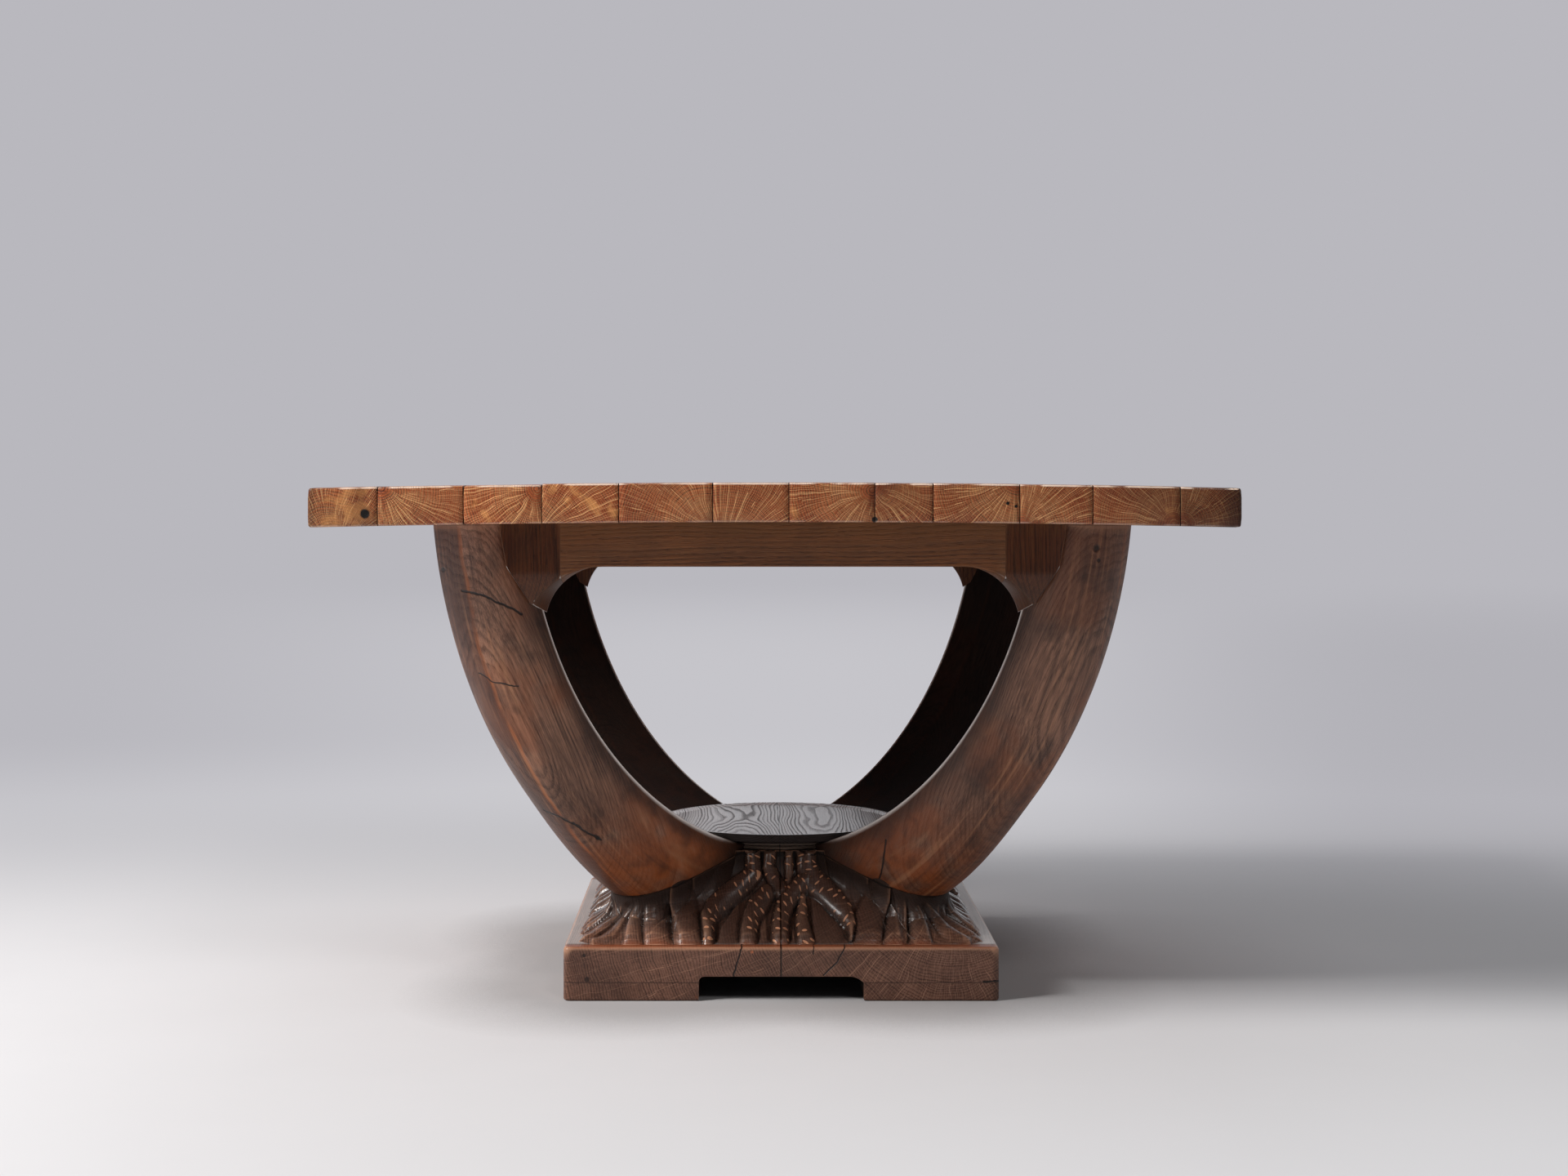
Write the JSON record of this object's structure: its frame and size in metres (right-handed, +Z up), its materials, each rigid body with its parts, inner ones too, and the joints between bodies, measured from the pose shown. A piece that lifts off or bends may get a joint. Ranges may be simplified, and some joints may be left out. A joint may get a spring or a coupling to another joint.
{
  "type": "pedestal centre table",
  "caption": "Square oak centre table: plank top on curved diagonal legs, aprons with arched knees, carved mound, plinth and round tray.",
  "frame": {"origin": "on the floor under the middle of the top", "axes": "+Z up; -Y is the front, where the end grain of the top shows; +X to the right"},
  "size_m": [1.252, 1.252, 0.76],
  "materials": {
    "top_oak": "waxed warm brown oak, end grain at front and back",
    "leg_oak": "dark brown waxed oak with a soft sheen",
    "apron_oak": "dark brown waxed oak, long grain",
    "knee_oak": "dark brown waxed oak, upright grain",
    "base_oak": "dark polished carved oak, worn copper brown at the edges",
    "tray_oak": "dark open grained oak with a grey sheen",
    "joinery_oak": "plain oak, not finished",
    "screw_steel": "dull steel"
  },
  "bodies": {
    "root": {"apron_back": "apron_oak", "apron_front": "apron_oak", "apron_left": "apron_oak", "apron_right": "apron_oak", "base_dowels": "joinery_oak", "base_left": "base_oak", "base_right": "base_oak", "foot_back_left": "base_oak", "foot_back_right": "base_oak", "foot_dowels": "joinery_oak", "foot_front_left": "base_oak", "foot_front_right": "base_oak", "knee_back_left": "knee_oak", "knee_back_right": "knee_oak", "knee_dowels": "joinery_oak", "knee_front_left": "knee_oak", "knee_front_right": "knee_oak", "knee_left_back": "knee_oak", "knee_left_front": "knee_oak", "knee_right_back": "knee_oak", "knee_right_front": "knee_oak", "leg_back_left": "leg_oak", "leg_back_right": "leg_oak", "leg_front_left": "leg_oak", "leg_front_right": "leg_oak", "leg_tenons": "joinery_oak", "top_board_01": "top_oak", "top_board_02": "top_oak", "top_board_03": "top_oak", "top_board_04": "top_oak", "top_board_05": "top_oak", "top_board_06": "top_oak", "top_board_07": "top_oak", "top_board_08": "top_oak", "top_board_09": "top_oak", "top_board_10": "top_oak", "top_board_11": "top_oak", "top_board_12": "top_oak", "top_button_screws": "screw_steel", "top_buttons": "joinery_oak", "top_splines": "joinery_oak", "tray_dowels": "joinery_oak", "tray_keys": "joinery_oak", "tray_left": "tray_oak", "tray_right": "tray_oak"}
  },
  "joints": []
}
